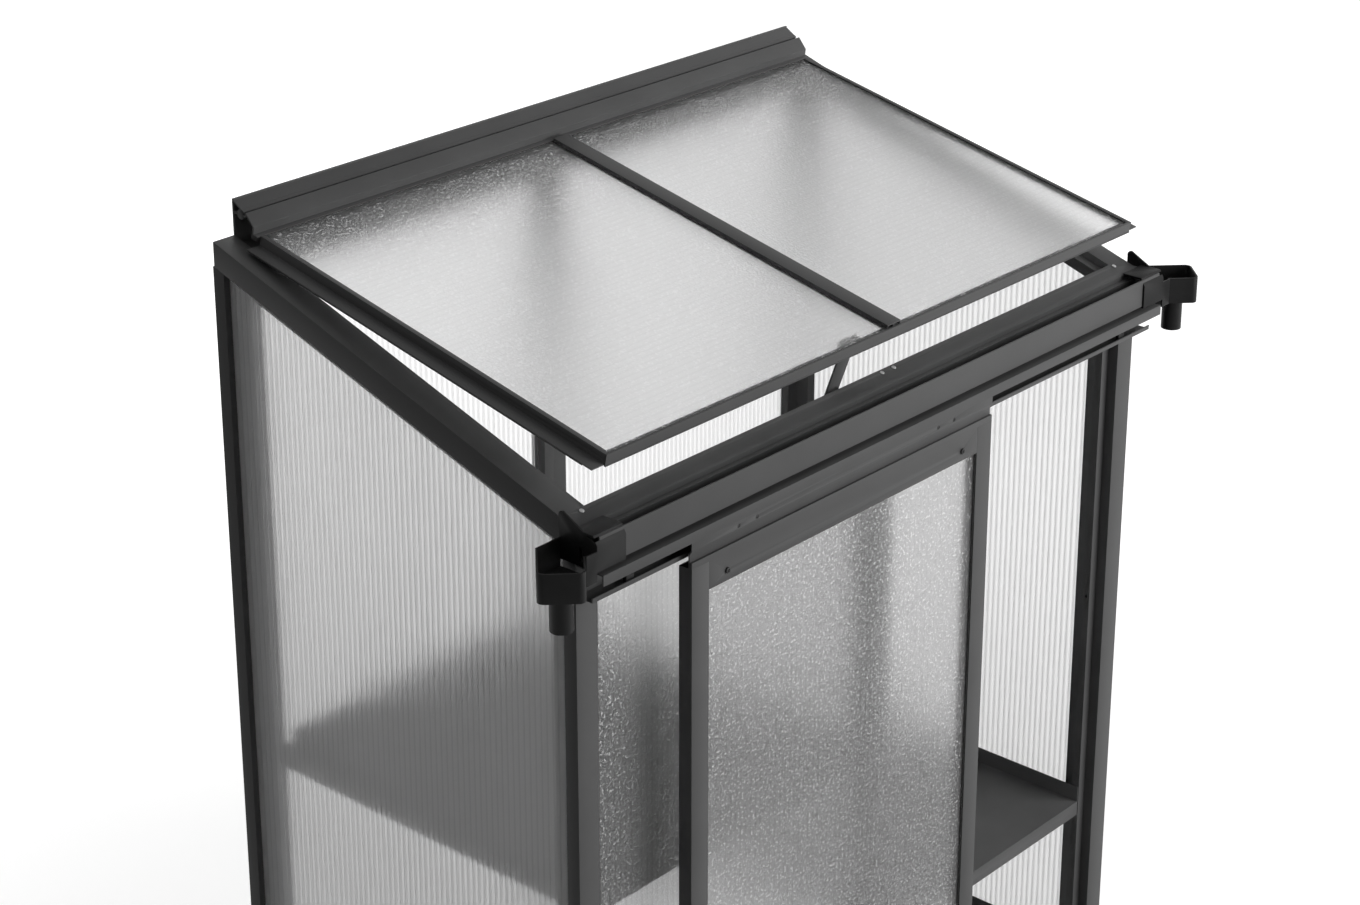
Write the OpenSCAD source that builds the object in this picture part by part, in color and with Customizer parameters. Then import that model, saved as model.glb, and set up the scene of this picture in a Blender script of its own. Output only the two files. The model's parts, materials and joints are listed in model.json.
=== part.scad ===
// Balcony greenhouse: a lean-to box with a hinged roof vent and a hanging sliding door.
// Everything is drawn in a house frame: x from the left outer face, y from the front face of
// the posts towards the wall, z up from the floor. in_house() moves it to the part's origin,
// the middle of the bounding box at floor level.

/* [Overall] */
// Width over the corner posts
frame_w = 1290; // [1150:10:1500]
// Depth from the front of the posts to the wall
frame_d = 690; // [620:10:900]
// Height of the ridge above the floor
ridge_h = 1580; // [1480:10:1800]
// Slope of the roof, degrees
roof_pitch = 18.1; // [15:0.1:21]

/* [Frame bars] */
// Width of a corner post's face
post_w = 40; // [37:1:46]
// Reach of the glazing flanges beside a bar's face
flange_w = 18; // [14:1:22]
// Height of the base sills
sill_h = 40; // [32:1:60]
// Wall thickness of the hollow bars
bar_wall = 2; // [1.5:0.1:2.6]

/* [Glazing] */
// Thickness of the fluted twin-wall panels
panel_t = 6; // [4:0.5:8]
// Distance between two flutes of a twin-wall panel
flute_pitch = 10.7; // [9:0.1:16]
// Thickness of the frosted panes
glass_t = 4; // [3:0.5:5]

/* [Roof vent] */
// Angle that the vent stands open, degrees
lid_open = 5.85; // [4:0.05:8]
// Width of the stay bar
stay_w = 28; // [22:1:34]
// Length of the stay bar from its pivot to its free end
stay_len = 330; // [290:1:360]

/* [Door] */
// Width of the door
door_w = 671; // [610:1:720]
// Distance of the door's left edge from the left end of the track
door_x = 173; // [120:1:240]
// Width of a door stile
stile_w = 35; // [30:1:45]
// Running radius of a door wheel
wheel_r = 13.8; // [12:0.1:15]

/* [Shelves] */
// Height of the upper shelf above the floor
upper_shelf_z = 728; // [620:1:800]
// Height of the lower shelf above the floor
lower_shelf_z = 359; // [250:1:500]
// Height of the lips along a shelf's edges
shelf_lip = 27; // [18:1:40]

/* [Gutter outlets] */
// Outer radius of an outlet's spout
spout_r = 16; // [13:0.5:18]
// Length of an outlet's spout below its box
spout_len = 52; // [40:1:80]

/* [Hidden] */
$fn = 48;

// Glazing rebate shared by every bar: distances from a bar's outer face
rebate = 17;
seal_t = 1;
flange_t = 15;
flange_back = rebate + flange_t;
upstand_t = 2.5;
upstand_h = 18;
side_leg_in = rebate + 5;
side_leg_out = rebate + 19;
leg_reach = post_w + flange_w;
pane_gap = 0.3;

// Mullions
mullion_w = 40;
mid_x = frame_w / 2;
mullion_x0 = mid_x - mullion_w / 2;
mullion_x1 = mid_x + mullion_w / 2;
back_flange = 4;

// Levels of roof, eave, track and door
ridge_over_roof = 51.9;
roof_front_z = ridge_h - ridge_over_roof - frame_d * tan(roof_pitch);
eave_back = 26.3;
eave_seat_y = 6.6;
eave_front_y = -14;
nose_y = -5.3;
nose_drop = 7.2;
gutter_drop = 42;
eave_under = roof_front_z - gutter_drop;
gutter_lip_y = -43;
gutter_lip_drop = 0.3;
gutter_bead_r = 1.75;
track_front_y = -49;
track_top = roof_front_z - 51.2;
sheet_t = 1.6;
rail_z = roof_front_z - 89.6;
rail_y = -28.5;
rail_bead_r = 1.5;
header_under = rail_z - 5;
rafter_t = 35.8;
ledge_t = 3;
ledge_drop = 11.4;
ledge_reach = 18;

// Screws in the seat of the eave
eave_screw_y = 20;
eave_screw_xs = [34, mid_x + 16, mid_x + 43, frame_w - 34];

// Wall screw holes through the back posts
wall_hole_r = 3.5;
wall_hole_x = 27;
wall_hole_low = 200;
wall_hole_pitch = 1150;

// Ridge bar
header_front_y = frame_d - 38;
ridge_box_h = 40;
ridge_box_top = roof_z(header_front_y) - 1;
ridge_box_under = ridge_box_top - ridge_box_h;
hinge_y = frame_d - 18;
hinge_z = roof_z(hinge_y) + 38.4;
bead_r = 4.6;
hinge_play = 0.05;
socket_r = 7.6;

// Roof vent, in its own frame with the hinge axis as origin
lid_pitch = roof_pitch - lid_open;
lid_rise = 19.8;
lid_drop = (38.4 - lid_rise) * cos(roof_pitch);
lid_front_y = 6;
lid_len = (hinge_y - lid_front_y + lid_drop * sin(roof_pitch)) / cos(roof_pitch);
lid_x0 = 45;
lid_x1 = frame_w - lid_x0;
lid_flange_x = 22.3;
lid_flange_drop = 14.6;
lid_back = 38.6;
lid_sheet = 2;
lid_lip = 8;
lid_rail_h = 18;
lid_ledge_w = 13;
front_lip = 4;
cap_w = 30;
cap_rise = 5;
seal_gap = 0.3;
lid_seal_t = lid_rise * cos(roof_pitch) - lid_flange_drop - lid_sheet - seal_gap;

// Stay between the vent's front rail and the eave
stay_x = mid_x - 77;
stay_t = 3;
stay_pin_r = 2.5;
stay_pivot_y = -lid_len + 21.4;
stay_pivot_z = -lid_drop - 17.7;
pivot_y = hinge_y + stay_pivot_y * cos(lid_pitch) - stay_pivot_z * sin(lid_pitch);
pivot_z = hinge_z + stay_pivot_y * sin(lid_pitch) + stay_pivot_z * cos(lid_pitch);
loop_y = eave_back + 23.3;
loop_z = roof_front_z - 30;
stay_lean = atan2(loop_y - pivot_y, pivot_z - loop_z);
loop_side = 1;
loop_room = 3.7;
loop_wall = 3;
loop_h = 12;
stud_r = 3;

// Door
door_front_y = -46;
door_t = 22.8;
door_back_y = door_front_y + door_t;
door_rail_h = 50;
door_bottom = 28;
door_top = rail_z - 8.2;
door_wall = 1.8;
door_flange_h = 9;
stile_top = door_top - door_flange_h;
groove_w = 8;
groove_d = 10;
groove_y = door_front_y + door_wall + groove_w / 2;
pane_bite = 8;
gasket_show = 1.5;
hanger_set = 4;
hanger_t = 2;
hanger_top = rail_z + 29;
wheel_inset = 95;
wheel_pitch = 38;
wheel_w = 8;
wheel_play = 0.3;
flange_rise = 2.7;
axle_r = 3;
axle_play = 0.05;
axle_z = rail_z + wheel_r;
track_clear = 4.3;
wheel_xs = [
    door_x + wheel_inset,
    door_x + wheel_inset + wheel_pitch,
    door_x + door_w - wheel_inset - wheel_pitch,
    door_x + door_w - wheel_inset
];
guide_y = (door_front_y + door_back_y) / 2;
guide_h = 24;
shoe_len = 40;
shoe_w = 12;
shoe_play = 0.8;
shoe_inset = 60;

// Shelves
tray_t = 1.5;
tray_x0 = post_w + flange_w + 1;
tray_x1 = mullion_x0 - flange_w - 1;
tray_y0 = rebate + 0.5;
tray_y1 = frame_d - 50;
shelf_rail_h = 26;
shelf_rail_t = 2;
rail_x0 = post_w - 2;
inner_rail_x = tray_x1 - 8;
tab_w = 18;
shelf_screw_drop = 11.5;
shelf_screw_x = post_w + 10;
mullion_screw_x = mullion_x0 - 7;
back_screw_x = mullion_x0 + 1;
back_tab_w = 24;
screw_r = 2.2;
screw_play = 0.05;
head_r = 4.5;
head_t = 2.5;

// Gutter outlets
sleeve_out = 8;
sleeve_in = 46;
sleeve_t = 3;
fin_t = 3;
fin_back = 21;
fin_r = 6;
spout_x = -60.5;
spout_y = -32.5;
box_w = 62.6;
box_end = 33;
box_r = 10;
box_wall = 2.5;
box_top = roof_front_z - 15.6;
box_h = 42;
box_side = box_w / 2 - box_r;
reach = -(spout_y - (box_end - box_r + box_side) / sqrt(2) - box_r);

// Height of the roof plane at a distance y behind the front of the posts
function roof_z(y) = roof_front_z + y * tan(roof_pitch);

// Moves the house frame to the part's origin
module in_house() {
    translate([-frame_w / 2, -(frame_d - reach) / 2, 0]) children();
}

// The same shape on the other side of the house, left to right
module swap_x() {
    translate([frame_w, 0, 0]) mirror([1, 0, 0]) children();
}

// The same shape on the other side of the house, front to back
module swap_y() {
    translate([0, frame_d, 0]) mirror([0, 1, 0]) children();
}

// A flat section drawn in y and z, drawn out along x from x0 to x1
module along_x(x0, x1) {
    translate([x0, 0, 0]) rotate([90, 0, 90]) linear_extrude(x1 - x0) children();
}

// A flat section drawn in x and z, drawn out along y from y0 to y1
module along_y(y0, y1) {
    translate([0, y1, 0]) rotate([90, 0, 0]) linear_extrude(y1 - y0) children();
}

// A box given by its lowest and highest corner
module block(lo, hi) {
    translate(lo) cube(hi - lo);
}

// A flat rectangle given by two opposite corners
module plate(lo, hi) {
    translate(lo) square(hi - lo);
}

// Local frame of the roof: y along the slope, z square to it
module on_roof() {
    translate([0, 0, roof_front_z]) rotate([roof_pitch, 0, 0]) children();
}

// Local frame of the roof vent, with the hinge axis as origin
module on_lid() {
    translate([0, hinge_y, hinge_z]) rotate([lid_pitch, 0, 0]) children();
}

// A shaft along y with a round head at its front end
module screw_y(x, y, z, shaft_len) {
    translate([x, y, z]) rotate([-90, 0, 0]) {
        cylinder(r = screw_r, h = shaft_len);
        translate([0, 0, -head_t]) cylinder(r = head_r, h = head_t);
    }
}

// A hole along y that a screw passes through
module hole_y(x, y0, y1, z) {
    translate([x, y0, z]) rotate([-90, 0, 0]) cylinder(r = screw_r + screw_play, h = y1 - y0);
}

// Section of a corner post, drawn smaller all round by inset
module post_section(inset) {
    polygon([
        [inset, inset],
        [post_w - inset, inset],
        [post_w - inset, rebate + inset],
        [leg_reach - inset, rebate + inset],
        [leg_reach - inset, flange_back - inset],
        [side_leg_out - inset, flange_back - inset],
        [side_leg_out - inset, leg_reach - inset],
        [rebate + inset, leg_reach - inset],
        [rebate + inset, side_leg_in - inset],
        [inset, side_leg_in - inset]
    ]);
}

// Screw holes through the flange and peg holes through the web of a post
module post_holes() {
    for (z = [upper_shelf_z, lower_shelf_z]) {
        hole_y(shelf_screw_x, rebate + 3, flange_back + 1, z - shelf_screw_drop);
        translate([leg_reach - 4, side_leg_in + 1, z + shelf_screw_drop])
            rotate([0, 90, 0]) cylinder(r = 2.5, h = 5);
    }
}

// Hollow post from the sill to the underside of the rafter
module post(height) {
    difference() {
        translate([0, 0, sill_h]) linear_extrude(height) post_section(0);
        translate([0, 0, sill_h - 1]) linear_extrude(height + 2) post_section(bar_wall);
        post_holes();
    }
}

// Everything above the underside of the rafters
module above_rafters() {
    on_roof() block([-10, -100, -rafter_t], [frame_w + 10, 2 * frame_d, 400]);
}

module front_post() {
    difference() {
        post(roof_front_z - sill_h);
        above_rafters();
        block([-1, -1, eave_under], [leg_reach + 1, eave_back, ridge_h]);
    }
}

module back_post() {
    difference() {
        swap_y() post(ridge_h - sill_h);
        above_rafters();
        block([post_w, 0, ridge_box_under], [frame_w, frame_d + 1, ridge_h]);
        for (z = [wall_hole_low, wall_hole_low + wall_hole_pitch])
            translate([wall_hole_x, frame_d - leg_reach - 1, z]) rotate([-90, 0, 0])
                cylinder(r = wall_hole_r, h = leg_reach + 2);
    }
}

module front_left_post() {
    color("slategray") in_house() front_post();
}

module front_right_post() {
    color("slategray") in_house() swap_x() front_post();
}

module back_left_post() {
    color("slategray") in_house() back_post();
}

module back_right_post() {
    color("slategray") in_house() swap_x() back_post();
}

// Hollow sill box with an upstand that the panels rest against
module sill_section() {
    difference() {
        union() {
            plate([0, 0], [post_w, sill_h]);
            plate([rebate, sill_h - 1], [rebate + upstand_t, sill_h + upstand_h]);
        }
        plate([bar_wall, bar_wall], [post_w - bar_wall, sill_h - bar_wall]);
    }
}

// Room for the corner posts and a mullion between two levels, where an upstand is cut away
module bar_room(z0, z1, mid_flange) {
    block([-1, -1, z0], [leg_reach, post_w + 1, z1]);
    block([mullion_x0 - mid_flange, -1, z0], [mullion_x1 + mid_flange, post_w + 1, z1]);
    block([frame_w - leg_reach, -1, z0], [frame_w + 1, post_w + 1, z1]);
}

module cross_sill(mid_flange) {
    difference() {
        along_x(0, frame_w) sill_section();
        bar_room(sill_h, sill_h + upstand_h + 1, mid_flange);
    }
}

module base_front_sill() {
    color("slategray") in_house() cross_sill(flange_w);
}

module base_back_sill() {
    color("slategray") in_house() swap_y() cross_sill(back_flange);
}

// Side sill: its upstand runs between the legs of the posts
module side_sill() {
    difference() {
        along_y(post_w, frame_d - post_w) sill_section();
        for (y = [0, frame_d - leg_reach])
            block([-1, y, sill_h], [post_w + 1, y + leg_reach, sill_h + upstand_h + 1]);
    }
}

module base_left_sill() {
    color("slategray") in_house() side_sill();
}

module base_right_sill() {
    color("slategray") in_house() swap_x() side_sill();
}

// Section of a mullion: a face bar with a glazing flange on both sides
module mullion_section(inset, flange) {
    plate([mullion_x0 + inset, inset], [mullion_x1 - inset, rebate + 2 * inset]);
    plate([mullion_x0 - flange + inset, rebate + inset], [mullion_x1 + flange - inset, flange_back - inset]);
}

// Hollow mullion with a hole for each shelf's screw at a distance screw_x from the side
module mullion(top, flange, screw_x) {
    difference() {
        translate([0, 0, sill_h]) linear_extrude(top - sill_h) mullion_section(0, flange);
        translate([0, 0, sill_h - 1]) linear_extrude(top - sill_h + 2) mullion_section(bar_wall, flange);
        hole_y(screw_x, rebate + 3, flange_back + 1, upper_shelf_z - shelf_screw_drop);
        hole_y(frame_w - screw_x, rebate + 3, flange_back + 1, lower_shelf_z - shelf_screw_drop);
    }
}

module front_mullion() {
    color("slategray") in_house() mullion(header_under, flange_w, mullion_screw_x);
}

module back_mullion() {
    color("slategray") in_house() swap_y() mullion(ridge_box_under, back_flange, back_screw_x);
}

// Hollow rafter with a ledge for the vent's seal and a flange behind the side panel
module rafter() {
    intersection() {
        on_roof() along_y(-50, 2 * frame_d) difference() {
            plate([0, -rafter_t], [post_w, 0]);
            plate([bar_wall, bar_wall - rafter_t], [post_w - bar_wall, -bar_wall]);
        }
        block([-1, eave_back, 0], [post_w + 1, frame_d - 2.5, 2 * ridge_h]);
    }
    intersection() {
        on_roof() along_y(-50, 2 * frame_d)
            plate([post_w - 1, -ledge_drop - ledge_t], [post_w + ledge_reach, -ledge_drop]);
        block([0, eave_back, 0], [frame_w, header_front_y, 2 * ridge_h]);
    }
    intersection() {
        on_roof() along_y(-50, 2 * frame_d)
            plate([rebate, -rafter_t - upstand_h], [rebate + upstand_t, 1 - rafter_t]);
        block([0, leg_reach, 0], [frame_w, frame_d - leg_reach, 2 * ridge_h]);
    }
}

module left_rafter() {
    color("slategray") in_house() rafter();
}

module right_rafter() {
    color("slategray") in_house() swap_x() rafter();
}

// Outline of eave beam and gutter, with z counted from the roof plane at the post's face
module eave_section() {
    seat_rise = eave_seat_y * tan(roof_pitch);
    room_low = 1.75 * bar_wall - gutter_drop;
    room_back = eave_back - bar_wall;
    difference() {
        polygon([
            [eave_back, eave_back * tan(roof_pitch)],
            [eave_seat_y, seat_rise],
            [nose_y + 3.2, seat_rise],
            [nose_y, seat_rise - 1.8],
            [nose_y, -nose_drop],
            [eave_front_y, -nose_drop],
            [eave_front_y, sheet_t - gutter_drop],
            [gutter_lip_y + sheet_t, sheet_t - gutter_drop],
            [gutter_lip_y + sheet_t, -gutter_lip_drop],
            [gutter_lip_y, -gutter_lip_drop],
            [gutter_lip_y, -gutter_drop],
            [eave_back, -gutter_drop]
        ]);
        plate([eave_front_y + bar_wall, room_low], [room_back, -nose_drop - bar_wall]);
        plate([nose_y + bar_wall, -nose_drop - bar_wall - 0.1], [room_back, 0]);
    }
    translate([gutter_lip_y + gutter_bead_r, -gutter_lip_drop]) circle(r = gutter_bead_r);
}

module eave_gutter() {
    color("slategray") in_house() difference() {
        translate([0, 0, roof_front_z]) along_x(0, frame_w) eave_section();
        for (x = eave_screw_xs) translate([x, 0, 0])
            on_roof() translate([0, eave_screw_y / cos(roof_pitch), -8]) cylinder(r = screw_r, h = 20);
    }
}

// Screws in the seat of the eave, over the corner posts and the mullion
module eave_screws() {
    color("silver") in_house() for (x = eave_screw_xs) translate([x, 0, 0])
        on_roof() translate([0, eave_screw_y / cos(roof_pitch), -8]) {
            cylinder(r = screw_r - 0.4, h = 9);
            translate([0, 0, 8]) cylinder(r = 3.6, h = 1.4);
        }
}

// Ridge bar: header box, back plate, sloped cover and the round hinge socket
module ridge_section() {
    mouth = 30;
    difference() {
        union() {
            plate([header_front_y, ridge_box_under], [frame_d, ridge_box_top]);
            plate([frame_d - 3.5, ridge_box_top - 1], [frame_d, ridge_h]);
            plate([frame_d - upstand_t - rebate, ridge_box_under - upstand_h], [frame_d - rebate, ridge_box_under + 1]);
            polygon([
                [frame_d, ridge_h], [hinge_y - 1, ridge_h - 11.6],
                [hinge_y - 1, ridge_h - 14.2], [frame_d, ridge_h - 2.6]
            ]);
            plate([hinge_y, hinge_z - 2], [frame_d - 1, hinge_z + 2]);
            translate([hinge_y, hinge_z]) circle(r = socket_r);
        }
        plate([header_front_y + bar_wall, ridge_box_under + bar_wall], [frame_d - bar_wall, ridge_box_top - bar_wall]);
        translate([hinge_y, hinge_z]) {
            circle(r = bead_r + hinge_play);
            polygon([
                [0, 0],
                [-mouth, -mouth * tan(35)],
                [-mouth, mouth * tan(30)]
            ]);
        }
    }
}

module ridge_bar() {
    color("slategray") in_house() difference() {
        along_x(post_w, frame_w - post_w) ridge_section();
        swap_y() bar_room(ridge_box_under - upstand_h - 1, ridge_box_under, back_flange);
    }
}

// Beam between the front posts that carries the door track
module door_header() {
    color("slategray") in_house() difference() {
        along_x(leg_reach, frame_w - leg_reach) difference() {
            plate([0, header_under], [flange_back, eave_under]);
            plate([bar_wall, header_under + bar_wall], [flange_back - bar_wall, eave_under - bar_wall]);
        }
        for (x = track_screw_xs) hole_y(x, -1, bar_wall + 1, track_screw_z);
    }
}

// Outline of a twin-wall panel seen from above, its flutes left empty
module twin_wall(len) {
    skin = panel_t * 0.12;
    count = floor(len / flute_pitch);
    cell = len / count;
    difference() {
        square([len, panel_t]);
        for (i = [0:count - 1])
            translate([i * cell + skin / 2, skin]) square([cell - skin, panel_t - 2 * skin]);
    }
}

panel_face = rebate - seal_t - panel_t;

// Room of the eave beam and gutter at the top of a side panel
module eave_room() {
    block([-1, -1, eave_under - pane_gap], [frame_w + 1, eave_back + pane_gap, ridge_h]);
}

// Side panel: stands on the sill and ends under the sloped rafter
module side_panel() {
    side_len = frame_d - 2 * side_leg_in - 2 * pane_gap;
    difference() {
        translate([rebate - seal_t, side_leg_in + pane_gap, sill_h])
            rotate([0, 0, 90]) linear_extrude(ridge_h) twin_wall(side_len);
        above_rafters();
        eave_room();
    }
}

module left_side_panel() {
    color("gainsboro", 0.6) in_house() side_panel();
}

module right_side_panel() {
    color("gainsboro", 0.6) in_house() swap_x() side_panel();
}

// Back panel between a corner post and the back mullion
module back_panel() {
    back_len = mullion_x0 - post_w - 2 * pane_gap;
    swap_y() translate([post_w + pane_gap, panel_face, sill_h])
        linear_extrude(ridge_box_under - sill_h) twin_wall(back_len);
}

module back_left_panel() {
    color("gainsboro", 0.6) in_house() back_panel();
}

module back_right_panel() {
    color("gainsboro", 0.6) in_house() swap_x() back_panel();
}

module front_fixed_panel() {
    color("whitesmoke", 0.7) in_house()
        block([post_w + pane_gap, rebate - seal_t - glass_t, sill_h],
              [mullion_x0 - pane_gap, rebate - seal_t, header_under]);
}

// Flat seal from a corner post to a mullion, in front of the upstand and both flanges
module seal_frame(top, mid_flange) {
    difference() {
        block([post_w, rebate - seal_t, sill_h], [mullion_x0, rebate, top]);
        block([leg_reach - 2, rebate - 2, sill_h + upstand_h - 2],
              [mullion_x0 - mid_flange + 1, rebate + 1, top - upstand_h + 2]);
    }
}

// Flat seal behind a side panel, with a sloped top edge
module side_seal() {
    difference() {
        block([rebate - seal_t, side_leg_in, sill_h], [rebate, frame_d - side_leg_in, ridge_h]);
        block([rebate - 2, leg_reach - 2, sill_h + upstand_h - 2], [rebate + 1, frame_d - leg_reach + 2, sill_h + 300]);
        intersection() {
            block([rebate - 2, leg_reach - 2, sill_h + 290], [rebate + 1, frame_d - leg_reach + 2, ridge_h]);
            translate([0, 0, -upstand_h]) difference() {
                block([-1, 0, 0], [frame_w, frame_d, ridge_h]);
                above_rafters();
            }
        }
        above_rafters();
        eave_room();
    }
}

module glazing_seals() {
    color("dimgray") in_house() {
        side_seal();
        swap_x() side_seal();
        swap_y() seal_frame(ridge_box_under, back_flange);
        swap_y() swap_x() seal_frame(ridge_box_under, back_flange);
        seal_frame(header_under, flange_w);
    }
}

// Overhead track: top plate, fascia, back plate, shelf and upturned running lip
module track_section() {
    plate([track_front_y, track_top - sheet_t], [0, track_top]);
    plate([track_front_y, track_top - 15.4], [track_front_y + sheet_t, track_top]);
    plate([-sheet_t, rail_z - 9], [0, track_top]);
    plate([rail_y - sheet_t / 2, rail_z - 7], [0, rail_z - 7 + sheet_t]);
    plate([rail_y - sheet_t / 2, rail_z - 7], [rail_y + sheet_t / 2, rail_z - rail_bead_r]);
    translate([rail_y, rail_z - rail_bead_r]) circle(r = rail_bead_r);
}

track_screw_z = rail_z + 20;
track_screw_xs = [for (i = [0:4]) 90 + i * (frame_w - 180) / 4];

module door_track() {
    color("slategray") in_house() difference() {
        along_x(0, frame_w) track_section();
        for (x = track_screw_xs) hole_y(x, -5, 5, track_screw_z);
    }
}

module track_screws() {
    color("silver") in_house() for (x = track_screw_xs)
        screw_y(x, -sheet_t, track_screw_z, sheet_t + 14);
}

// End stops beside the running lip that the outer door wheels meet
module track_stop() {
    stop_x = track_clear + wheel_inset - wheel_r - flange_rise - seal_gap;
    block([stop_x - 16, rail_y + rail_bead_r + seal_gap, rail_z - 7 + sheet_t], [stop_x, rail_y + 8, rail_z + 7]);
}

module track_stops() {
    color("dimgray") in_house() {
        track_stop();
        swap_x() track_stop();
    }
}

// Floor rail with two lips that keep the door's foot in line
module floor_guide_rail() {
    lip_y = guide_y - shoe_w / 2 - shoe_play;
    lip_back_y = guide_y + shoe_w / 2 + shoe_play;
    color("slategray") in_house() along_x(0, frame_w) {
        plate([door_front_y, 0], [0, 2]);
        plate([-sheet_t, 0], [0, sill_h - 4]);
        plate([lip_y - sheet_t, 1], [lip_y, guide_h]);
        plate([lip_back_y, 1], [lip_back_y + sheet_t, guide_h]);
    }
}

// Plan of the cup, drawn smaller all round by inset: a rounded box lying diagonally and the
// sleeve's front corner, both cut square at the end plate
module cup_plan(inset) {
    front = gutter_lip_y - sleeve_t;
    side = box_w / 2 - inset;
    corner = box_r - inset;
    corner_x = spout_x + front - spout_y + box_w / sqrt(2);
    difference() {
        union() {
            translate([spout_x, spout_y]) rotate(45) {
                plate([-box_end + box_r, -side], [120, side]);
                plate([-box_end + inset, -side + corner], [0, side - corner]);
                for (s = [-1, 1]) translate([-box_end + box_r, s * box_side]) circle(r = corner);
            }
            plate([corner_x + 2, front + inset], [0, front + 30]);
        }
        plate([-sleeve_out, -200], [200, 200]);
        plate([-300, fin_back - inset], [200, 200]);
    }
}

// Outlet at a gutter end: sleeve over the gutter, upright end plate, cup and spout
module gutter_outlet() {
    base = eave_under - sleeve_t;
    front = gutter_lip_y - sleeve_t;
    lip_top = roof_front_z + 1.4;
    box_low = box_top - box_h;
    fin_foot_z = roof_front_z - 8.6;
    cover_back = nose_y - 0.2;
    tip = [fin_back - fin_r, roof_front_z + 16.4];
    tip_in = fin_r - 0.2;
    run = tip - [front, fin_foot_z];
    slope = atan2(run[1], run[0]) + asin(tip_in / norm(run));
    difference() {
        union() {
            along_x(-sleeve_out, sleeve_in) difference() {
                polygon([
                    [front, base], [front, fin_foot_z], [gutter_lip_y + 4, lip_top + sleeve_t],
                    [cover_back, lip_top + sleeve_t], [cover_back, lip_top], [eave_front_y, lip_top],
                    [eave_front_y, base]
                ]);
                plate([gutter_lip_y, eave_under], [eave_front_y + 1, lip_top]);
            }
            along_x(-sleeve_out, fin_t - sleeve_out) {
                polygon([
                    [front, base], [front, fin_foot_z], tip + tip_in * [-sin(slope), cos(slope)],
                    tip, [tip[0] + tip_in, tip[1]], [tip[0] + tip_in, base]
                ]);
                translate(tip) circle(r = fin_r);
            }
            translate([0, 0, box_low]) difference() {
                linear_extrude(box_h) cup_plan(0);
                translate([0, 0, box_wall]) linear_extrude(box_h) cup_plan(box_wall);
            }
            translate([spout_x, spout_y, box_low - spout_len]) cylinder(r = spout_r, h = spout_len + box_wall);
        }
        translate([spout_x, spout_y, box_low - spout_len - 1])
            cylinder(r = spout_r - box_wall, h = spout_len + box_wall + 2);
        block([-sleeve_out - 1, -20, box_low + box_wall + 16], [fin_t - sleeve_out + 1, -15, box_top - 3]);
    }
}

module left_gutter_outlet() {
    color("#26282b") in_house() gutter_outlet();
}

module right_gutter_outlet() {
    color("#26282b") in_house() swap_x() gutter_outlet();
}

// Folded tray: deck, lips at sides and back, front edge folded down
module shelf_tray(z) {
    block([tray_x0, tray_y0, z - tray_t], [tray_x1, tray_y1, z]);
    block([tray_x0, tray_y0, z - tray_t], [tray_x0 + tray_t, tray_y1, z + shelf_lip]);
    block([tray_x1 - tray_t, tray_y0, z - tray_t], [tray_x1, tray_y1, z + shelf_lip]);
    block([tray_x0, tray_y1 - tray_t, z - tray_t], [tray_x1, tray_y1, z + shelf_lip]);
    block([tray_x0, tray_y0, z - shelf_rail_h], [tray_x1, tray_y0 + tray_t, z]);
}

module upper_shelf() {
    color("slategray") in_house() shelf_tray(upper_shelf_z);
}

module lower_shelf() {
    color("slategray") in_house() swap_x() shelf_tray(lower_shelf_z);
}

// Angle bar from front to back under one edge of a tray, with a screwed tab at each end
module shelf_rail(x_leg, x_deck, back_tab, z) {
    top = z - tray_t;
    low = z - shelf_rail_h;
    y0 = flange_back;
    y1 = frame_d - flange_back;
    block([x_leg, y0, low], [x_leg + shelf_rail_t, y1, top]);
    block([x_deck, y0, top - shelf_rail_t], [x_deck + 30, y1, top]);
    block([x_leg, y0, low], [x_leg + tab_w, y0 + shelf_rail_t, top]);
    block([x_leg, y1 - shelf_rail_t, low], [x_leg + back_tab, y1, top]);
}

module shelf_rails(z) {
    difference() {
        union() {
            shelf_rail(rail_x0, rail_x0, tab_w, z);
            shelf_rail(inner_rail_x + 12, inner_rail_x - 16, back_tab_w, z);
        }
        hole_y(shelf_screw_x, 0, frame_d, z - shelf_screw_drop);
        hole_y(mullion_screw_x, 0, frame_d / 2, z - shelf_screw_drop);
        hole_y(back_screw_x, frame_d / 2, frame_d, z - shelf_screw_drop);
    }
}

module upper_shelf_rails() {
    color("slategray") in_house() shelf_rails(upper_shelf_z);
}

module lower_shelf_rails() {
    color("slategray") in_house() swap_x() shelf_rails(lower_shelf_z);
}

// Screws that hold the shelf rails to posts and mullions
module rail_screws(z) {
    shaft = shelf_rail_t + 8;
    for (x = [shelf_screw_x, mullion_screw_x])
        translate([0, flange_back + shelf_rail_t, 0]) swap_screw(x, z, shaft);
    for (x = [shelf_screw_x, back_screw_x])
        screw_y(x, frame_d - flange_back - shelf_rail_t, z, shaft);
}

module swap_screw(x, z, shaft) {
    mirror([0, 1, 0]) screw_y(x, 0, z, shaft);
}

module shelf_screws() {
    color("silver") in_house() {
        rail_screws(upper_shelf_z - shelf_screw_drop);
        swap_x() rail_screws(lower_shelf_z - shelf_screw_drop);
    }
}

// Frame of the stay bar: origin at its pivot, z up along the bar
module on_stay() {
    translate([stay_x, pivot_y, pivot_z]) rotate([stay_lean, 0, 0]) children();
}

// Distance from the stay's pivot to the middle of the keeper loop
loop_at = norm([loop_y - pivot_y, loop_z - pivot_z]);

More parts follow.
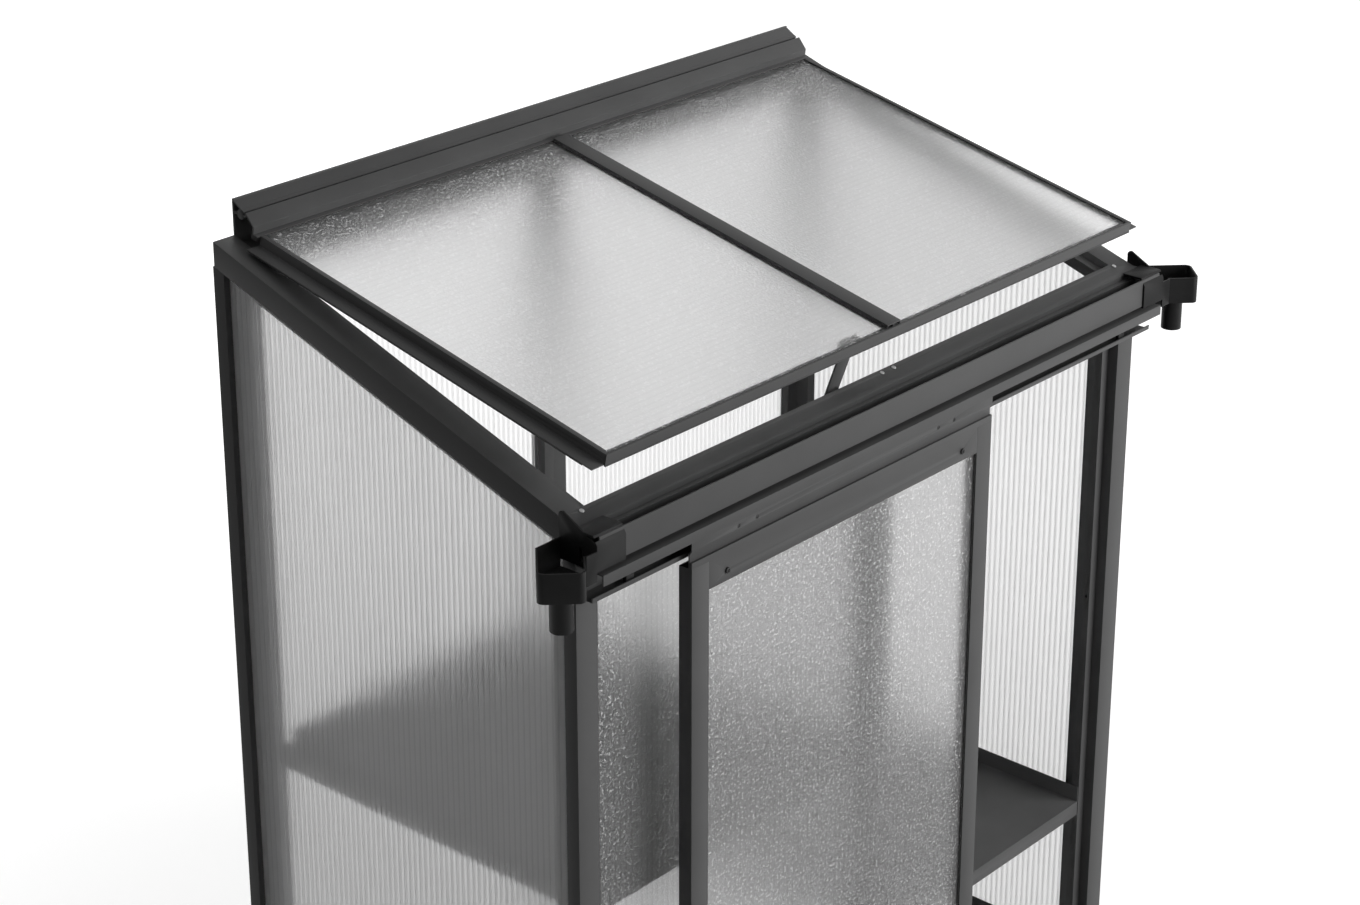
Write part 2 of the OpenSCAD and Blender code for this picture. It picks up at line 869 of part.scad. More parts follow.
// Loop on the back of the eave that the stay bar slides through
module stay_keeper() {
    half_w = stay_w / 2 + loop_side;
    color("slategray") in_house() difference() {
        union() {
            on_stay() block([-half_w - loop_wall - 1, -loop_room - loop_wall, -loop_at - loop_h / 2],
                            [half_w + loop_wall + 1, loop_room + loop_wall, loop_h / 2 - loop_at]);
            block([stay_x - 12, eave_back, loop_z - 6], [stay_x + 12, loop_y - 5, loop_z + 6]);
        }
        on_stay() block([-half_w, -loop_room, -loop_at - 30], [half_w, loop_room, 30 - loop_at]);
        on_stay() translate([0, loop_room - 1, -loop_at]) rotate([-90, 0, 0])
            cylinder(r = stud_r + axle_play, h = loop_wall + 2);
    }
}

// Round clamping knob with its stud through the loop's back wall
module stay_knob() {
    wall_out = loop_room + loop_wall + 0.2;
    color("#26282b") in_house() on_stay() translate([0, 0, -loop_at]) rotate([-90, 0, 0]) {
        translate([0, 0, loop_room]) cylinder(r = stud_r, h = loop_wall + 4);
        translate([0, 0, wall_out]) cylinder(r = 8, h = 9);
        translate([0, 0, wall_out + 9]) cylinder(r = 6, h = 4);
    }
}

// Front rail of the vent with a nose along its lower edge and a ledge for the panes
module lid_front_rail() {
    color("slategray") in_house() on_lid() along_x(lid_x0, lid_x1) translate([-lid_len, -lid_drop]) {
        plate([0, -lid_rail_h], [lid_sheet, 0]);
        plate([0, -lid_sheet], [front_lip, 0]);
        plate([-1, -lid_rail_h], [lid_sheet, 1.6 - lid_rail_h]);
        plate([1, -2 * lid_sheet - glass_t], [lid_ledge_w, -lid_sheet - glass_t]);
    }
}

// Side rail of the vent: lip over the pane, web, ledge under the pane and outer flange
module lid_side_rail() {
    under_pane = -lid_sheet - glass_t;
    on_lid() translate([0, 0, -lid_drop]) along_y(lid_sheet - lid_len, -lid_back) {
        plate([lid_x0, -lid_sheet], [lid_x0 + lid_lip, 0]);
        plate([lid_x0, -lid_flange_drop - lid_sheet], [lid_x0 + lid_sheet, 0]);
        plate([lid_x0, under_pane - lid_sheet], [lid_x0 + lid_ledge_w, under_pane]);
        plate([lid_flange_x, -lid_flange_drop - lid_sheet], [lid_x0 + 1, -lid_flange_drop]);
    }
}

module lid_left_rail() {
    color("slategray") in_house() difference() {
        lid_side_rail();
        on_lid() lid_front_corner();
    }
}

module lid_right_rail() {
    color("slategray") in_house() swap_x() difference() {
        lid_side_rail();
        on_lid() lid_front_corner();
    }
}

// Space of the front rail's lip and ledge at a corner of the vent
module lid_front_corner() {
    under_pane = -lid_drop - lid_sheet - glass_t;
    corner = 30;
    block([lid_x0 - 0.01, -lid_len, -lid_drop - lid_sheet], [lid_x0 + corner, front_lip - lid_len, -lid_drop + 1]);
    block([lid_x0 - 0.01, -lid_len, under_pane - lid_sheet], [lid_x0 + corner, lid_ledge_w - lid_len, under_pane]);
}

// Hinge rail of the vent: seat for the panes, upstand, steep face and round bead in the socket
module lid_hinge_rail() {
    under_pane = -lid_drop - lid_sheet - glass_t;
    color("slategray") in_house() on_lid() {
        along_x(lid_x0 - 6, lid_x1 + 6) {
            plate([-lid_back, -lid_drop - lid_sheet], [-26, -lid_drop]);
            plate([-lid_back + lid_sheet, under_pane - lid_sheet], [-26, -lid_drop]);
            polygon([
                [-30, -lid_drop - 1], [-29, -7], [-10.7, 7.4], [-9.2, 6], [-9.2, 1], [-2, 1],
                [-2, -1], [-10.5, -1], [-12.4, 2.6], [-26.4, -8], [-27, -lid_drop - 1]
            ]);
            circle(r = bead_r);
        }
        along_x(lid_x0 + lid_ledge_w, lid_x1 - lid_ledge_w)
            plate([-lid_back - 12, under_pane - lid_sheet], [lid_sheet + 1 - lid_back, under_pane]);
    }
}

// Centre bar of the vent with a raised cap
module lid_centre_bar() {
    under_pane = -lid_sheet - glass_t;
    color("slategray") in_house() on_lid() translate([0, 0, -lid_drop]) {
        along_y(front_lip - lid_len, -lid_back - 1) {
            plate([mid_x - cap_w / 2, cap_rise - lid_sheet], [mid_x + cap_w / 2, cap_rise]);
            for (x = [mid_x - cap_w / 2, mid_x + cap_w / 2 - lid_sheet])
                plate([x, -lid_sheet], [x + lid_sheet, cap_rise]);
            plate([mid_x - 2, under_pane], [mid_x + 2, cap_rise]);
        }
        along_y(lid_ledge_w - lid_len, -lid_back - 12)
            plate([mid_x - lid_ledge_w, under_pane - lid_sheet], [mid_x + lid_ledge_w, under_pane]);
    }
}

module lid_pane() {
    on_lid() translate([0, 0, -lid_drop])
        block([lid_x0 + lid_sheet + pane_gap, lid_sheet + pane_gap - lid_len, -lid_sheet - glass_t],
              [mid_x - 2 - pane_gap, lid_sheet - lid_back - pane_gap, -lid_sheet]);
}

module lid_left_pane() {
    color("whitesmoke", 0.7) in_house() lid_pane();
}

module lid_right_pane() {
    color("whitesmoke", 0.7) in_house() swap_x() lid_pane();
}

// Soft strips under the flanges, which meet the rafters when the vent is shut
module lid_seals() {
    under = -lid_drop - lid_flange_drop - lid_sheet;
    strip_end = -lid_back - 2;
    color("#26282b") in_house() for (x = [lid_flange_x + 1, frame_w - lid_x0 + 2])
        on_lid() block([x, 20 - lid_len, under - lid_seal_t], [x + 19, strip_end, under]);
}

// Two ears under the vent's front rail that hold the stay's pin
module stay_lug() {
    under = -lid_drop - 2 * lid_sheet - glass_t;
    color("slategray") in_house() on_lid() difference() {
        union() {
            block([stay_x - stay_w / 2 - 4, stay_pivot_y - 9, under - 2], [stay_x + stay_w / 2 + 4, stay_pivot_y + 5, under]);
            for (x = [stay_x - stay_w / 2 - 4, stay_x + stay_w / 2 + 1]) {
                block([x, stay_pivot_y - 5, stay_pivot_z], [x + 3, stay_pivot_y + 5, under]);
                translate([x, stay_pivot_y, stay_pivot_z]) rotate([0, 90, 0]) cylinder(r = 5, h = 3);
            }
        }
        translate([stay_x - stay_w, stay_pivot_y, stay_pivot_z]) rotate([0, 90, 0])
            cylinder(r = stay_pin_r, h = 2 * stay_w);
    }
}

module stay_pin() {
    pin_len = stay_w + 12;
    color("silver") in_house() on_lid() translate([stay_x - pin_len / 2, stay_pivot_y, stay_pivot_z])
        rotate([0, 90, 0]) cylinder(r = stay_pin_r, h = pin_len);
}

// Flat bar with a round eye at its pivot
module stay_bar() {
    color("slategray") in_house() on_stay() difference() {
        union() {
            block([-stay_w / 2, -stay_t / 2, -stay_len], [stay_w / 2, stay_t / 2, 0]);
            translate([-stay_w / 2, 0, 0]) rotate([0, 90, 0]) cylinder(r = 4.4, h = stay_w);
        }
        translate([-stay_w, 0, 0]) rotate([0, 90, 0]) cylinder(r = stay_pin_r + axle_play, h = 2 * stay_w);
    }
}

door_x1 = door_x + door_w;

// Section of a horizontal door rail, its pane groove at the top edge near the front face,
// height counted from 0
module door_rail_section() {
    difference() {
        plate([door_front_y, 0], [door_back_y, door_rail_h]);
        plate([door_front_y + hanger_set, door_wall], [door_back_y - door_wall, door_rail_h - groove_d - door_wall]);
        plate([groove_y + groove_w / 2 + door_wall, door_wall], [door_back_y - door_wall, door_rail_h - door_wall]);
        plate([groove_y - groove_w / 2, door_rail_h - groove_d], [groove_y + groove_w / 2, door_rail_h + 1]);
    }
}

door_screw_drop = 35;
door_screw_inset = 72;

module door_rail_holes(z) {
    for (x = [door_x + door_screw_inset, door_x1 - door_screw_inset])
        hole_y(x, door_front_y - 1, door_front_y + 12, z);
}

// Room of the two stiles, cut from the pieces that pass over their tops
module stile_room() {
    for (x = [door_x - 1, door_x1 - stile_w])
        block([x, door_front_y - 1, 0], [x + stile_w + 1, door_back_y + 1, stile_top]);
}

// Top rail, open along its top edge so that the hanger plate drops in behind its front wall,
// which stands taller than the rest and covers the tops of the stiles
module door_top_rail() {
    color("slategray") in_house() difference() {
        translate([0, 0, door_top]) along_x(door_x, door_x1) mirror([0, 1]) door_rail_section();
        along_x(door_x - 1, door_x1 + 1) {
            plate([door_front_y + hanger_set, door_top - door_rail_h + groove_d + door_wall],
                  [door_back_y - door_wall, door_top + 1]);
            plate([door_front_y + hanger_set, stile_top], [door_back_y + 1, door_top + 1]);
        }
        stile_room();
        door_rail_holes(door_top - door_screw_drop);
    }
}

module door_bottom_rail() {
    color("slategray") in_house() translate([0, 0, door_bottom]) along_x(door_x, door_x1) door_rail_section();
}

// Hollow stile with the groove towards the pane near its front face, its top end open
module door_stile() {
    z0 = door_bottom + door_rail_h;
    translate([door_x, 0, z0]) linear_extrude(stile_top - z0) difference() {
        plate([0, door_front_y], [stile_w, door_back_y]);
        plate([door_wall, door_front_y + door_wall], [stile_w - groove_d - door_wall, door_back_y - door_wall]);
        plate([door_wall, groove_y + groove_w / 2 + door_wall], [stile_w - door_wall, door_back_y - door_wall]);
        plate([stile_w - groove_d, groove_y - groove_w / 2], [stile_w + 1, groove_y + groove_w / 2]);
    }
}

module door_left_stile() {
    color("slategray") in_house() door_stile();
}

module door_right_stile() {
    color("slategray") in_house() translate([2 * door_x + door_w, 0, 0]) mirror([1, 0, 0]) door_stile();
}

// Box of the door's opening, grown outwards by reach_out, between two planes in y
module door_opening(reach_out, y0, y1) {
    block([door_x + stile_w - reach_out, y0, door_bottom + door_rail_h - reach_out],
          [door_x1 - stile_w + reach_out, y1, door_top - door_rail_h + reach_out]);
}

module door_pane() {
    color("whitesmoke", 0.7) in_house()
        door_opening(pane_bite, groove_y - glass_t / 2, groove_y + glass_t / 2);
}

module door_gasket() {
    color("#26282b") in_house() difference() {
        door_opening(groove_d, groove_y - groove_w / 2, groove_y + groove_w / 2);
        door_opening(-gasket_show, door_front_y, door_back_y);
        door_opening(pane_bite, groove_y - glass_t / 2, groove_y + glass_t / 2);
    }
}

// Plate along the door's top, stepped forward to run behind the track's fascia
module door_hanger_plate() {
    set_y = door_front_y + hanger_set;
    low = door_top - door_rail_h + groove_d + door_wall;
    step_z = door_top + 11;
    color("slategray") in_house() difference() {
        along_x(door_x, door_x1) polygon([
            [set_y, low], [set_y + hanger_t, low], [set_y + hanger_t, step_z + 1],
            [door_front_y + hanger_t, step_z + 7], [door_front_y + hanger_t, hanger_top],
            [door_front_y, hanger_top], [door_front_y, step_z + 6], [set_y, step_z]
        ]);
        for (x = wheel_xs) translate([x, door_front_y - 1, axle_z]) rotate([-90, 0, 0])
            cylinder(r = axle_r + axle_play, h = 10);
        stile_room();
        door_rail_holes(door_top - door_screw_drop);
    }
}

module door_screws() {
    color("silver") in_house() for (x = [door_x + door_screw_inset, door_x1 - door_screw_inset])
        screw_y(x, door_front_y, door_top - door_screw_drop, 11);
}

// Axle bolts: shaft through the plate, spacer before the wheel and end head behind it
module door_axles() {
    plate_back = door_front_y + hanger_t;
    wheel_front = rail_y - wheel_w / 2;
    wheel_back = rail_y + wheel_w / 2;
    color("silver") in_house() for (x = wheel_xs) translate([x, 0, axle_z]) rotate([-90, 0, 0]) {
        translate([0, 0, door_front_y + 0.5]) cylinder(r = axle_r, h = wheel_back + 3 - door_front_y - 0.5);
        translate([0, 0, plate_back]) cylinder(r = 5, h = wheel_front - wheel_play - plate_back);
        translate([0, 0, wheel_back + wheel_play]) cylinder(r = 5, h = 2.7);
    }
}

// Sliding blocks under the door's bottom rail, running between the lips of the floor rail
module door_guide_shoes() {
    color("#26282b") in_house() for (x = [door_x + shoe_inset, door_x1 - shoe_inset - shoe_len])
        block([x, guide_y - shoe_w / 2, 5], [x + shoe_len, guide_y + shoe_w / 2, door_bottom]);
}

// Grooved wheel on the running lip, its axle along y
module door_wheel(i) {
    groove_r = rail_bead_r + 0.6;
    tread_r = wheel_r - seal_gap;
    color("#26282b") in_house() translate([wheel_xs[i], rail_y, axle_z]) rotate([90, 0, 0]) rotate_extrude($fn = 64)
        difference() {
            plate([axle_r + axle_play, -wheel_w / 2], [wheel_r + flange_rise, wheel_w / 2]);
            polygon([
                [wheel_r + flange_rise + 1, -groove_r - 1.2], [tread_r, -1],
                [tread_r, 1], [wheel_r + flange_rise + 1, groove_r + 1.2]
            ]);
        }
}

module door_wheel_1() {
    door_wheel(0);
}

module door_wheel_2() {
    door_wheel(1);
}

module door_wheel_3() {
    door_wheel(2);
}

module door_wheel_4() {
    door_wheel(3);
}

base_front_sill();
base_back_sill();
base_left_sill();
base_right_sill();
front_left_post();
front_right_post();
back_left_post();
back_right_post();
front_mullion();
back_mullion();
left_rafter();
right_rafter();
eave_gutter();
eave_screws();
ridge_bar();
door_header();
left_side_panel();
right_side_panel();
back_left_panel();
back_right_panel();
front_fixed_panel();
glazing_seals();
door_track();
track_screws();
track_stops();
floor_guide_rail();
left_gutter_outlet();
right_gutter_outlet();
upper_shelf();
lower_shelf();
upper_shelf_rails();
lower_shelf_rails();
shelf_screws();
stay_keeper();
stay_knob();
lid_front_rail();
lid_left_rail();
lid_right_rail();
lid_hinge_rail();
lid_centre_bar();
lid_left_pane();
lid_right_pane();
lid_seals();
stay_lug();
stay_pin();
stay_bar();
door_top_rail();
door_bottom_rail();
door_left_stile();
door_right_stile();
door_pane();
door_gasket();
door_hanger_plate();
door_screws();
door_axles();
door_guide_shoes();
door_wheel_1();
door_wheel_2();
door_wheel_3();
door_wheel_4();
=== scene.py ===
import json
import math

import bpy
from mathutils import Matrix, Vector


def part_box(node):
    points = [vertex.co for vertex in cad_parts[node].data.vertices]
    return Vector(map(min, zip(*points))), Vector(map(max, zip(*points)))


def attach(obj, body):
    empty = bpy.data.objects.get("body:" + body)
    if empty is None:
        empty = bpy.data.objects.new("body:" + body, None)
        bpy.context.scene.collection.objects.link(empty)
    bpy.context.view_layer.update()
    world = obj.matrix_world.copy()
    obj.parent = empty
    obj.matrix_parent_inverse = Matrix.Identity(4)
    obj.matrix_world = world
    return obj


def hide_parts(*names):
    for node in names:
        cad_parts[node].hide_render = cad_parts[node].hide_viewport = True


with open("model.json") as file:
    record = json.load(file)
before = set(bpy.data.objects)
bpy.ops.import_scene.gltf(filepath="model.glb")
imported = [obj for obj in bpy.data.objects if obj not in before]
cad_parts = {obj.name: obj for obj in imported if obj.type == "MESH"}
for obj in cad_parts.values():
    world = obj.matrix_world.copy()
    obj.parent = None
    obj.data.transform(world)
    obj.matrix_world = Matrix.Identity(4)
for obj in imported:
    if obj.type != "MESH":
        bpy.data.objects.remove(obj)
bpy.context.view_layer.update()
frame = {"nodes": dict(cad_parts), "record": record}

# Camera
# Its place, its turn and its lens are solved from the straight edges of the frame in the
# photograph, which shows the upper part of the house.
cam_data = bpy.data.cameras.new("camera")
cam_data.sensor_width = 36
cam_data.lens = 77.33
cam_data.shift_y = -0.1171
camera = bpy.data.objects.new("camera", cam_data)
camera.location = (-3.0802, -2.6374, 2.8827)
camera.rotation_euler = (math.radians(69.465), 0, math.radians(-48.543))
bpy.context.collection.objects.link(camera)
bpy.context.scene.camera = camera

# Corner posts, mullions and base sills
# Hollow aluminium extrusions cut to length and screwed together at the corners, with a fine
# matt anthracite powder coat. The die leaves a small radius along every edge.
bar_edge = 0.0006
grain_relief = 0.0002
weld_gap = 0.000002
flat_within = math.radians(0.4)
edge_from = math.radians(38)
smooth_below = math.radians(35)

body_of = {}
for body, nodes in frame["record"]["behaviour"]["bodies"].items():
    for node in nodes:
        body_of[node] = body


def surface_grain():
    group = bpy.data.node_groups.new("surface_grain", "ShaderNodeTree")
    for name, value in (("Patch Scale", 9.0), ("Grain Scale", 1400.0)):
        socket = group.interface.new_socket(name, in_out="INPUT", socket_type="NodeSocketFloat")
        socket.default_value = value
    for name in ("Patches", "Grain"):
        group.interface.new_socket(name, in_out="OUTPUT", socket_type="NodeSocketFloat")
    inputs = group.nodes.new("NodeGroupInput")
    outputs = group.nodes.new("NodeGroupOutput")
    place = group.nodes.new("ShaderNodeTexCoord")
    for scale, result, detail in (("Patch Scale", "Patches", 3.0), ("Grain Scale", "Grain", 1.0)):
        noise = group.nodes.new("ShaderNodeTexNoise")
        noise.inputs["Detail"].default_value = detail
        spread = group.nodes.new("ShaderNodeMapRange")
        spread.inputs["From Min"].default_value = 0.3
        spread.inputs["From Max"].default_value = 0.7
        group.links.new(place.outputs["Object"], noise.inputs["Vector"])
        group.links.new(inputs.outputs[scale], noise.inputs["Scale"])
        group.links.new(noise.outputs["Fac"], spread.inputs["Value"])
        group.links.new(spread.outputs["Result"], outputs.inputs[result])
    return group


grain_group = surface_grain()


def place_grain(tree, patch_scale, grain_scale):
    grain = tree.nodes.new("ShaderNodeGroup")
    grain.node_tree = grain_group
    grain.inputs["Patch Scale"].default_value = patch_scale
    grain.inputs["Grain Scale"].default_value = grain_scale
    return grain


def tone(tree, mask, dark, light):
    ramp = tree.nodes.new("ShaderNodeValToRGB")
    ramp.color_ramp.elements[0].color = (*dark, 1)
    ramp.color_ramp.elements[1].color = (*light, 1)
    tree.links.new(mask, ramp.inputs["Fac"])
    return ramp.outputs["Color"]


def between(tree, mask, low, high):
    spread = tree.nodes.new("ShaderNodeMapRange")
    spread.inputs["To Min"].default_value = low
    spread.inputs["To Max"].default_value = high
    tree.links.new(mask, spread.inputs["Value"])
    return spread.outputs["Result"]


def raised(tree, height, strength, distance):
    bump = tree.nodes.new("ShaderNodeBump")
    bump.inputs["Strength"].default_value = strength
    bump.inputs["Distance"].default_value = distance
    tree.links.new(height, bump.inputs["Height"])
    return bump


def opaque_finish(name, dark, light, rough, patches, grains, depth, specular=0.5, metallic=0.0):
    material = bpy.data.materials.new(name)
    material.use_nodes = True
    tree = material.node_tree
    shader = tree.nodes["Principled BSDF"]
    shader.inputs["Specular IOR Level"].default_value = specular
    shader.inputs["Metallic"].default_value = metallic
    grain = place_grain(tree, patches, grains)
    tree.links.new(tone(tree, grain.outputs["Patches"], dark, light), shader.inputs["Base Color"])
    tree.links.new(between(tree, grain.outputs["Patches"], *rough), shader.inputs["Roughness"])
    bump = raised(tree, grain.outputs["Grain"], depth, grain_relief)
    tree.links.new(bump.outputs["Normal"], shader.inputs["Normal"])
    return material


def dressed(node, material, edge):
    bpy.ops.object.select_all(action="DESELECT")
    piece = bpy.data.objects.new(node + "_piece", frame["nodes"][node].data.copy())
    bpy.context.collection.objects.link(piece)
    bpy.context.view_layer.objects.active = piece
    piece.select_set(True)
    bpy.ops.object.mode_set(mode="EDIT")
    bpy.ops.mesh.select_all(action="SELECT")
    bpy.ops.mesh.remove_doubles(threshold=weld_gap)
    bpy.ops.mesh.dissolve_limited(angle_limit=flat_within)
    bpy.ops.object.mode_set(mode="OBJECT")
    rounded = piece.modifiers.new("rounded", "BEVEL")
    rounded.width = edge
    rounded.segments = 2
    rounded.limit_method = "ANGLE"
    rounded.angle_limit = edge_from
    bpy.ops.object.modifier_apply(modifier=rounded.name)
    bpy.ops.object.shade_smooth_by_angle(angle=smooth_below)
    piece.data.materials.clear()
    piece.data.materials.append(material)
    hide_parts(node)
    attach(piece, body_of[node])
    return piece


powder_coat = opaque_finish(
    "powder_coat", dark=(0.067, 0.067, 0.0673), light=(0.0808, 0.0808, 0.0812),
    rough=(0.48, 0.58), patches=9, grains=1400, depth=0.14, specular=0.12)
for node in ("front_left_post", "front_right_post", "back_left_post", "back_right_post",
             "front_mullion", "back_mullion",
             "base_front_sill", "base_back_sill", "base_left_sill", "base_right_sill"):
    dressed(node, powder_coat, bar_edge)

# Rafters, eave beam with its gutter, ridge bar and header
# Four more extrusions of the same coated aluminium. The eave beam and the gutter are one
# profile, and the ridge bar ends in the round socket that the vent hangs in.
roof_bar_edge = 0.0005
for node in ("left_rafter", "right_rafter", "eave_gutter", "ridge_bar", "door_header"):
    dressed(node, powder_coat, roof_bar_edge)

# Fluted twin-wall panels of the sides and the back
# Clear extruded sheets of two thin skins joined by upright ribs, which show as fine pale and
# grey bands. They stand in the rebates of the bars against flat seals.
flute_pitch = 0.0107
flute_relief = 0.0008
across_depth = (0, 1, 0)
across_width = (1, 0, 0)
side_clear = 0.925
back_clear = 0.98


def flute_bands():
    group = bpy.data.node_groups.new("flute_bands", "ShaderNodeTree")
    direction = group.interface.new_socket("Direction", in_out="INPUT", socket_type="NodeSocketVector")
    direction.default_value = across_width
    for name, value in (("Pitch", flute_pitch), ("Start", 0.0)):
        socket = group.interface.new_socket(name, in_out="INPUT", socket_type="NodeSocketFloat")
        socket.default_value = value
    for name in ("Rib", "Swell"):
        group.interface.new_socket(name, in_out="OUTPUT", socket_type="NodeSocketFloat")
    inputs = group.nodes.new("NodeGroupInput")
    outputs = group.nodes.new("NodeGroupOutput")
    place = group.nodes.new("ShaderNodeTexCoord")
    along = group.nodes.new("ShaderNodeVectorMath")
    along.operation = "DOT_PRODUCT"
    group.links.new(place.outputs["Object"], along.inputs[0])
    group.links.new(inputs.outputs["Direction"], along.inputs[1])

    def step(operation, *values):
        node = group.nodes.new("ShaderNodeMath")
        node.operation = operation
        for socket, value in zip(node.inputs, values):
            if isinstance(value, (int, float)):
                socket.default_value = value
            else:
                group.links.new(value, socket)
        return node.outputs["Value"]

    shifted = step("SUBTRACT", along.outputs["Value"], inputs.outputs["Start"])
    turns = step("MULTIPLY", step("DIVIDE", shifted, inputs.outputs["Pitch"]), math.tau)
    wave = step("MULTIPLY_ADD", step("COSINE", turns), 0.5, 0.5)
    rib = group.nodes.new("ShaderNodeMapRange")
    rib.interpolation_type = "SMOOTHSTEP"
    rib.inputs["From Min"].default_value = 0.62
    rib.inputs["From Max"].default_value = 0.95
    group.links.new(wave, rib.inputs["Value"])
    group.links.new(rib.outputs["Result"], outputs.inputs["Rib"])
    group.links.new(wave, outputs.inputs["Swell"])
    return group


flute_group = flute_bands()


def place_flutes(tree, direction, pitch, start):
    bands = tree.nodes.new("ShaderNodeGroup")
    bands.node_tree = flute_group
    bands.inputs["Direction"].default_value = direction
    bands.inputs["Pitch"].default_value = pitch
    bands.inputs["Start"].default_value = start
    return bands


def fluted_sheet(name, direction, pitch, start, clear):
    material = bpy.data.materials.new(name)
    material.use_nodes = True
    tree = material.node_tree
    shader = tree.nodes["Principled BSDF"]
    shader.inputs["Transmission Weight"].default_value = clear
    shader.inputs["IOR"].default_value = 1.12
    bands = place_flutes(tree, direction, pitch, start)
    grain = place_grain(tree, patch_scale=8, grain_scale=500)
    skin_tone = (0.955, 0.955, 0.955)
    rib_tone = (0.82, 0.82, 0.82)
    tree.links.new(tone(tree, bands.outputs["Rib"], skin_tone, rib_tone), shader.inputs["Base Color"])
    rough = between(tree, grain.outputs["Patches"], low=0.29, high=0.35)
    tree.links.new(rough, shader.inputs["Roughness"])
    bump = raised(tree, bands.outputs["Swell"], 0.06, flute_relief)
    tree.links.new(bump.outputs["Normal"], shader.inputs["Normal"])
    return material


def faced(node, material):
    slots = frame["nodes"][node].data.materials
    slots.clear()
    slots.append(material)


for node, direction, clear in (
        ("left_side_panel", across_depth, side_clear), ("right_side_panel", across_depth, side_clear),
        ("back_left_panel", across_width, back_clear), ("back_right_panel", across_width, back_clear)):
    low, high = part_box(node)
    start = low.dot(direction)
    length = high.dot(direction) - start
    pitch = length / math.floor(length / flute_pitch)
    faced(node, fluted_sheet(node + "_sheet", direction, pitch, start, clear))


# Fixed front panel
# A frosted sheet with the same flutes and a fine sparkle, set in the rebate between the left
# corner post and the mullion. The sparkle is partly real, a glossy coat on sparse specks, and
# partly painted highlight, as the specks are also painted brighter in the base colour.
def multiplied(tree, first, second):
    mix = tree.nodes.new("ShaderNodeMix")
    mix.data_type = "RGBA"
    mix.blend_type = "MULTIPLY"
    mix.inputs["Factor"].default_value = 1.0
    first_colour = mix.inputs[6]
    second_colour = mix.inputs[7]
    mixed_colour = mix.outputs[2]
    tree.links.new(first, first_colour)
    tree.links.new(second, second_colour)
    return mixed_colour


def frosted(name, sheet_and_painted_glint_tones, rough, direction, start, swell, clear, rib_tone):
    material = bpy.data.materials.new(name)
    material.use_nodes = True
    tree = material.node_tree
    shader = tree.nodes["Principled BSDF"]
    shader.inputs["Transmission Weight"].default_value = clear
    shader.inputs["IOR"].default_value = 1.2
    shader.inputs["Coat Roughness"].default_value = 0.3
    shader.inputs["Coat IOR"].default_value = 3.0
    grain = place_grain(tree, patch_scale=6, grain_scale=240)
    bands = place_flutes(tree, direction, flute_pitch, start)
    specks = tree.nodes.new("ShaderNodeMapRange")
    specks.inputs["From Min"].default_value = 0.74
    specks.inputs["From Max"].default_value = 0.86
    tree.links.new(grain.outputs["Grain"], specks.inputs["Value"])
    tree.links.new(specks.outputs["Result"], shader.inputs["Coat Weight"])
    low_tone, painted_glint_tone = sheet_and_painted_glint_tones
    # Painted glints: the base colour is painted brighter on the specks, on top of their real coat
    # reflection and lower roughness.
    frost_and_painted_glints = tone(tree, specks.outputs["Result"], (low_tone,) * 3, (painted_glint_tone,) * 3)
    ribs = tone(tree, bands.outputs["Rib"], (1.0, 1.0, 1.0), (rib_tone,) * 3)
    tree.links.new(multiplied(tree, frost_and_painted_glints, ribs), shader.inputs["Base Color"])
    tree.links.new(between(tree, specks.outputs["Result"], *rough), shader.inputs["Roughness"])
    waves = raised(tree, bands.outputs["Swell"], swell, flute_relief)
    bump = raised(tree, grain.outputs["Grain"], strength=0.35, distance=0.0006)
    tree.links.new(waves.outputs["Normal"], bump.inputs["Normal"])
    tree.links.new(bump.outputs["Normal"], shader.inputs["Normal"])
    return material


low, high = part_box("front_fixed_panel")
# The second tone is the painted glint on the specks.
front_sheet = frosted(
    "front_sheet", sheet_and_painted_glint_tones=(0.8, 1.0), rough=(0.42, 0.34), direction=across_width, start=low.x,
    swell=0.12, clear=0.95, rib_tone=0.88)
faced("front_fixed_panel", front_sheet)

# Glazing seals
# Flat black rubber strips, pressed in between the panels and the flanges of the bars.
rubber = opaque_finish(
    "rubber", dark=(0.009, 0.009, 0.009), light=(0.016, 0.016, 0.016),
    rough=(0.74, 0.86), patches=30, grains=900, depth=0.2)
faced("glazing_seals", rubber)

# Shelves and their side rails
# Folded aluminium trays with upright lips, coated like the frame. They rest on angle bars
# that are screwed to the posts and the mullions.
fold_edge = 0.0004
for node in ("upper_shelf", "lower_shelf", "upper_shelf_rails", "lower_shelf_rails"):
    dressed(node, powder_coat, fold_edge)

# Gutter outlets
# Moulded black plastic: a sleeve over the gutter's end, an end plate with a round tip, an
# open cup lying diagonally and a spout. Each is pushed on and stays by its own grip.
outlet_edge = 0.0009
black_plastic = opaque_finish(
    "black_plastic", dark=(0.0095, 0.0095, 0.0096), light=(0.0145, 0.0145, 0.0146),
    rough=(0.4, 0.5), patches=25, grains=1800, depth=0.16, specular=0.08)
for node in ("left_gutter_outlet", "right_gutter_outlet"):
    dressed(node, black_plastic, outlet_edge)

# Door track, its end stops and the floor rail
# A folded coated profile with an upturned lip that the wheels run on, closed by two plastic
# blocks, and a low profile on the floor whose lips guide the door's foot.
stop_edge = 0.0012
for node in ("door_track", "floor_guide_rail"):
    dressed(node, powder_coat, fold_edge)
dressed("track_stops", black_plastic, stop_edge)

# Roof vent
# A frame of thin coated rails around two frosted panes, with a raised bar between them. Its
# hinge rail ends in a round bead that turns in the ridge bar's socket.
for node in ("lid_front_rail", "lid_left_rail", "lid_right_rail", "lid_hinge_rail", "lid_centre_bar"):
    dressed(node, powder_coat, fold_edge)
faced("lid_seals", rubber)
